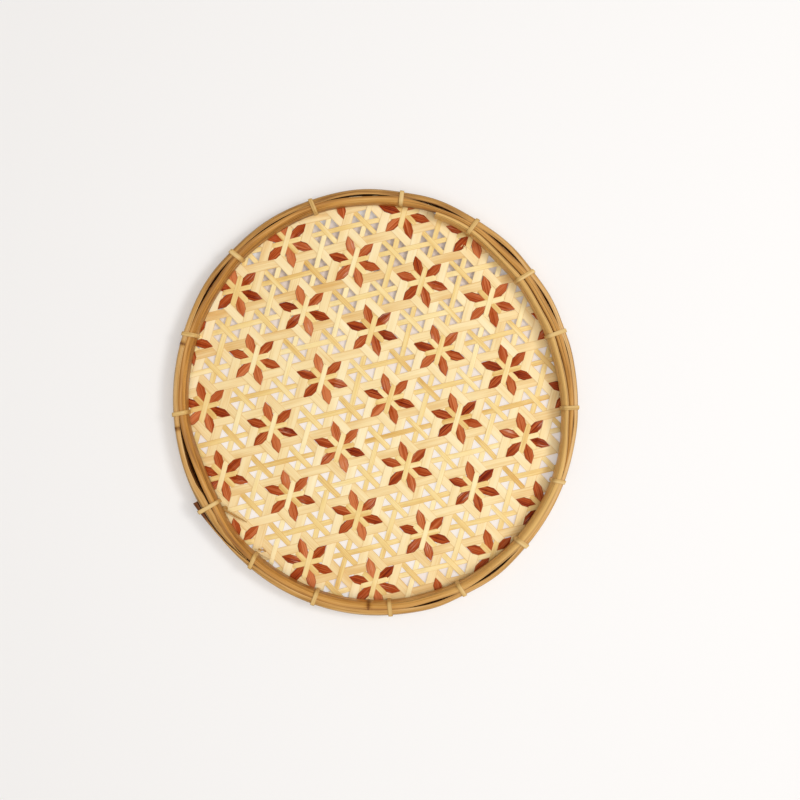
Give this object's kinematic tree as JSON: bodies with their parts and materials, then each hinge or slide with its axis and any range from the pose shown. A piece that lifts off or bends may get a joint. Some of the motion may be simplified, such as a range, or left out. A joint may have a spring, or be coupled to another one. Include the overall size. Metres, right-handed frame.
{
  "type": "woven wall plate",
  "caption": "Shallow, slightly oval split-bamboo tray or wall plate: open star weave in pale, yellow and dyed red strips, held between two tied bamboo hoops.",
  "frame": {"origin": "middle of the underside, on the plane the rim ties rest on", "axes": "+Z out of the plate's face, +Y up as the plate is pictured or hung, +X to its right"},
  "size_m": [0.2868, 0.3005, 0.02],
  "materials": {
    "bamboo_hoop": "golden tan split bamboo, satin",
    "bamboo_tie": "straw-coloured cane, satin",
    "bamboo_pale": "pale scraped bamboo, fine lengthwise grain, matt",
    "bamboo_yellow": "yellow bamboo with skin, satin",
    "bamboo_dyed": "dyed red-brown bamboo with a streaky sheen"
  },
  "bodies": {
    "root": {"outer_hoop": "bamboo_hoop", "inner_hoop": "bamboo_hoop", "rim_tie_01": "bamboo_tie", "rim_tie_02": "bamboo_tie", "rim_tie_03": "bamboo_tie", "rim_tie_04": "bamboo_tie", "rim_tie_05": "bamboo_tie", "rim_tie_06": "bamboo_tie", "rim_tie_07": "bamboo_tie", "rim_tie_08": "bamboo_tie", "rim_tie_09": "bamboo_tie", "rim_tie_10": "bamboo_tie", "rim_tie_11": "bamboo_tie", "rim_tie_12": "bamboo_tie", "rim_tie_13": "bamboo_tie", "rim_tie_14": "bamboo_tie", "rim_tie_15": "bamboo_tie", "rim_tie_16": "bamboo_tie", "mat_edge": "bamboo_pale", "wide_strip_a_01": "bamboo_pale", "wide_strip_a_02": "bamboo_pale", "wide_strip_a_03": "bamboo_pale", "wide_strip_a_04": "bamboo_pale", "wide_strip_a_05": "bamboo_pale", "wide_strip_a_06": "bamboo_pale", "wide_strip_a_07": "bamboo_pale", "wide_strip_a_08": "bamboo_pale", "wide_strip_a_09": "bamboo_pale", "wide_strip_a_10": "bamboo_pale", "wide_strip_a_11": "bamboo_pale", "wide_strip_a_12": "bamboo_pale", "wide_strip_b_01": "bamboo_pale", "wide_strip_b_02": "bamboo_pale", "wide_strip_b_03": "bamboo_pale", "wide_strip_b_04": "bamboo_pale", "wide_strip_b_05": "bamboo_pale", "wide_strip_b_06": "bamboo_pale", "wide_strip_b_07": "bamboo_pale", "wide_strip_b_08": "bamboo_pale", "wide_strip_b_09": "bamboo_pale", "wide_strip_b_10": "bamboo_pale", "wide_strip_b_11": "bamboo_pale", "wide_strip_c_01": "bamboo_pale", "wide_strip_c_02": "bamboo_pale", "wide_strip_c_03": "bamboo_pale", "wide_strip_c_04": "bamboo_pale", "wide_strip_c_05": "bamboo_pale", "wide_strip_c_06": "bamboo_pale", "wide_strip_c_07": "bamboo_pale", "wide_strip_c_08": "bamboo_pale", "wide_strip_c_09": "bamboo_pale", "wide_strip_c_10": "bamboo_pale", "wide_strip_c_11": "bamboo_pale", "narrow_strip_net": "bamboo_yellow", "dyed_strip_net": "bamboo_dyed"}
  },
  "joints": []
}
